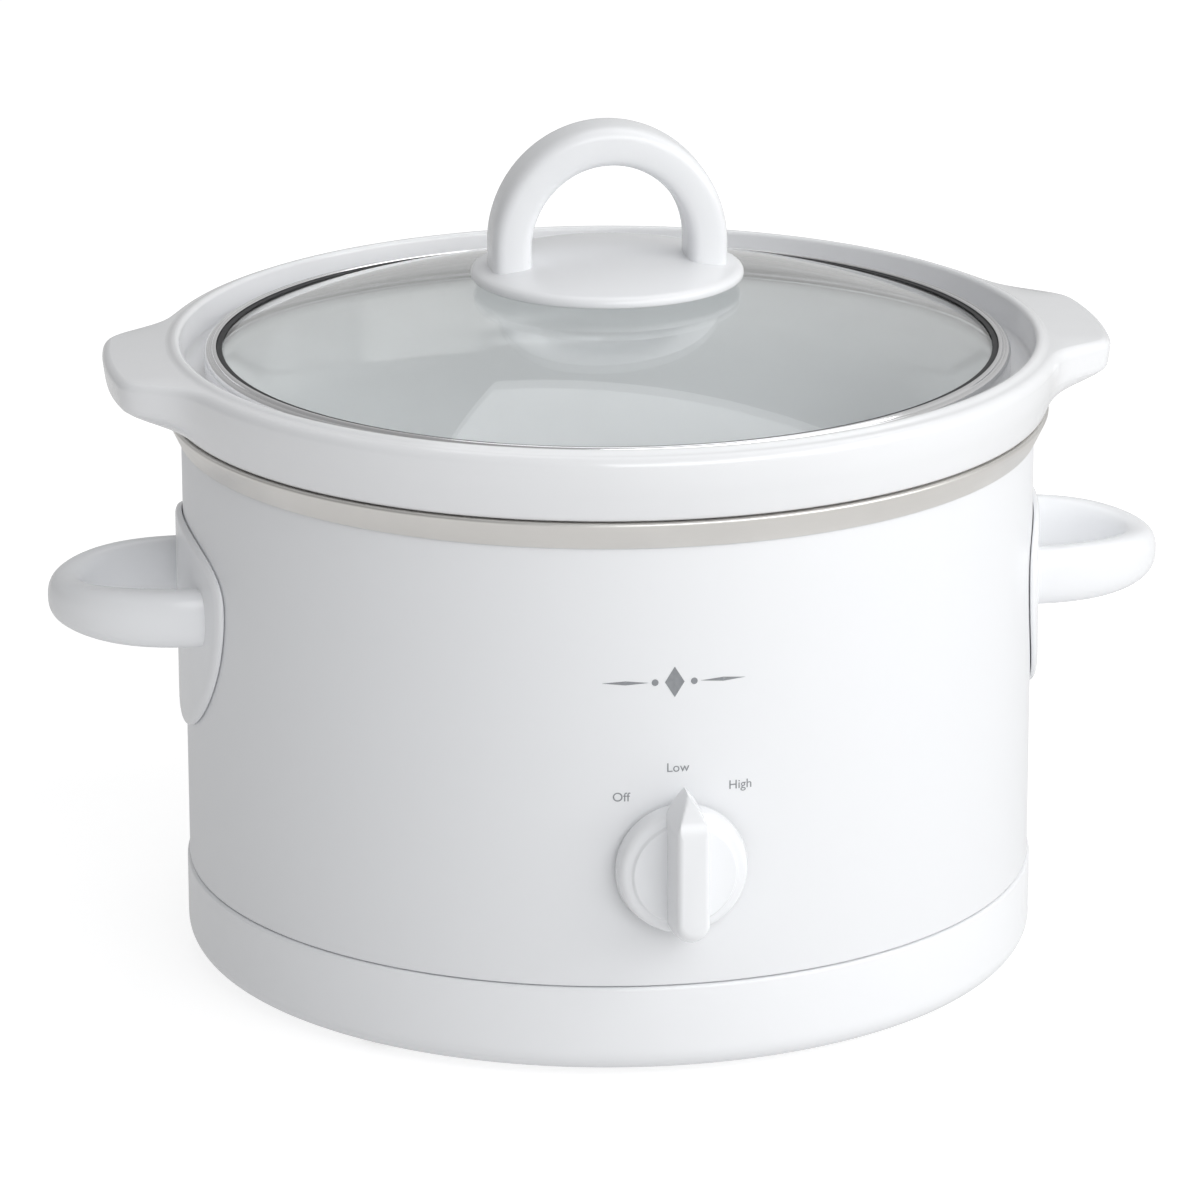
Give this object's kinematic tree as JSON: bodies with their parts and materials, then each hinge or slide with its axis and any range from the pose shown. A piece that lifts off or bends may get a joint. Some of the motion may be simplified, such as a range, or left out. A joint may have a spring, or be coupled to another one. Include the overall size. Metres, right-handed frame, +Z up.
{
  "type": "slow cooker",
  "caption": "Round manual slow cooker with a steel-wrapped heating base, lift-out stoneware crock with two lugs, domed glass lid, side handles and a three-position dial.",
  "frame": {"origin": "middle of the whole cooker's footprint, on the surface it stands on; the round axis stands 7.2 mm behind it because the dial sticks out in front", "axes": "+Z up, -Y out of the front where the dial is, +X through the right-hand side handle"},
  "size_m": [0.3124, 0.2641, 0.2351],
  "materials": {
    "enamelled_shell": "smooth white baked enamel, soft satin gloss",
    "white_plastic": "moulded white plastic, semi-gloss",
    "stoneware_glaze": "thick white gloss glaze",
    "dull_aluminium": "plain drawn sheet, dull warm grey",
    "zinc_steel": "zinc plated",
    "polished_steel": "polished stainless steel",
    "brass": "plain brass",
    "foot_rubber": "matt black rubber",
    "silicone": "translucent grey silicone",
    "element_fabric": "woven glass-fibre heating tape",
    "lead_sleeve": "heat-resistant sleeve",
    "switch_plastic": "black phenolic moulding",
    "lid_glass": "clear tempered glass"
  },
  "bodies": {
    "base": {"outer_shell": "enamelled_shell", "base_ring": "white_plastic", "bottom_plate": "zinc_steel", "centre_stud": "zinc_steel", "centre_washer": "zinc_steel", "centre_nut": "zinc_steel", "foot_front_left": "foot_rubber", "foot_front_right": "foot_rubber", "foot_rear_left": "foot_rubber", "foot_rear_right": "foot_rubber", "heater_liner": "dull_aluminium", "heating_band": "element_fabric", "heater_clamp": "zinc_steel", "thermal_fuse": "zinc_steel", "fuse_clip": "brass", "switch_housing": "switch_plastic", "switch_nut": "zinc_steel", "switch_terminal_1": "brass", "switch_terminal_2": "brass", "lead_inlet_to_switch": "lead_sleeve", "lead_inlet_to_fuse": "lead_sleeve", "lead_switch_to_heater": "lead_sleeve", "cord_inlet_bush": "foot_rubber", "left_handle": "white_plastic", "right_handle": "white_plastic", "handle_screw_left_front": "zinc_steel", "handle_screw_left_rear": "zinc_steel", "handle_screw_right_front": "zinc_steel", "handle_screw_right_rear": "zinc_steel"},
    "crock": {"stoneware_crock": "stoneware_glaze"},
    "lid": {"lid_glass": "lid_glass", "lid_rim_band": "polished_steel", "lid_handle": "white_plastic", "lid_handle_gasket": "silicone", "lid_handle_washer": "polished_steel", "lid_handle_screw": "polished_steel"},
    "dial": {"dial_knob": "white_plastic", "switch_shaft": "brass", "dial_spring_clip": "polished_steel"}
  },
  "joints": [
    {"name": "crock_lift", "type": "slide", "parent": "base", "child": "crock", "axis": [0, 0, 1], "range_m": [0, 0.16]},
    {"name": "lid_lift", "type": "slide", "parent": "crock", "child": "lid", "axis": [0, 0, 1], "range_m": [0, 0.1]},
    {"name": "dial_turn", "type": "hinge", "parent": "base", "child": "dial", "pos_m": [0, -0.1122, 0.061], "axis": [0, 1, 0], "range_deg": [-40, 40]}
  ]
}
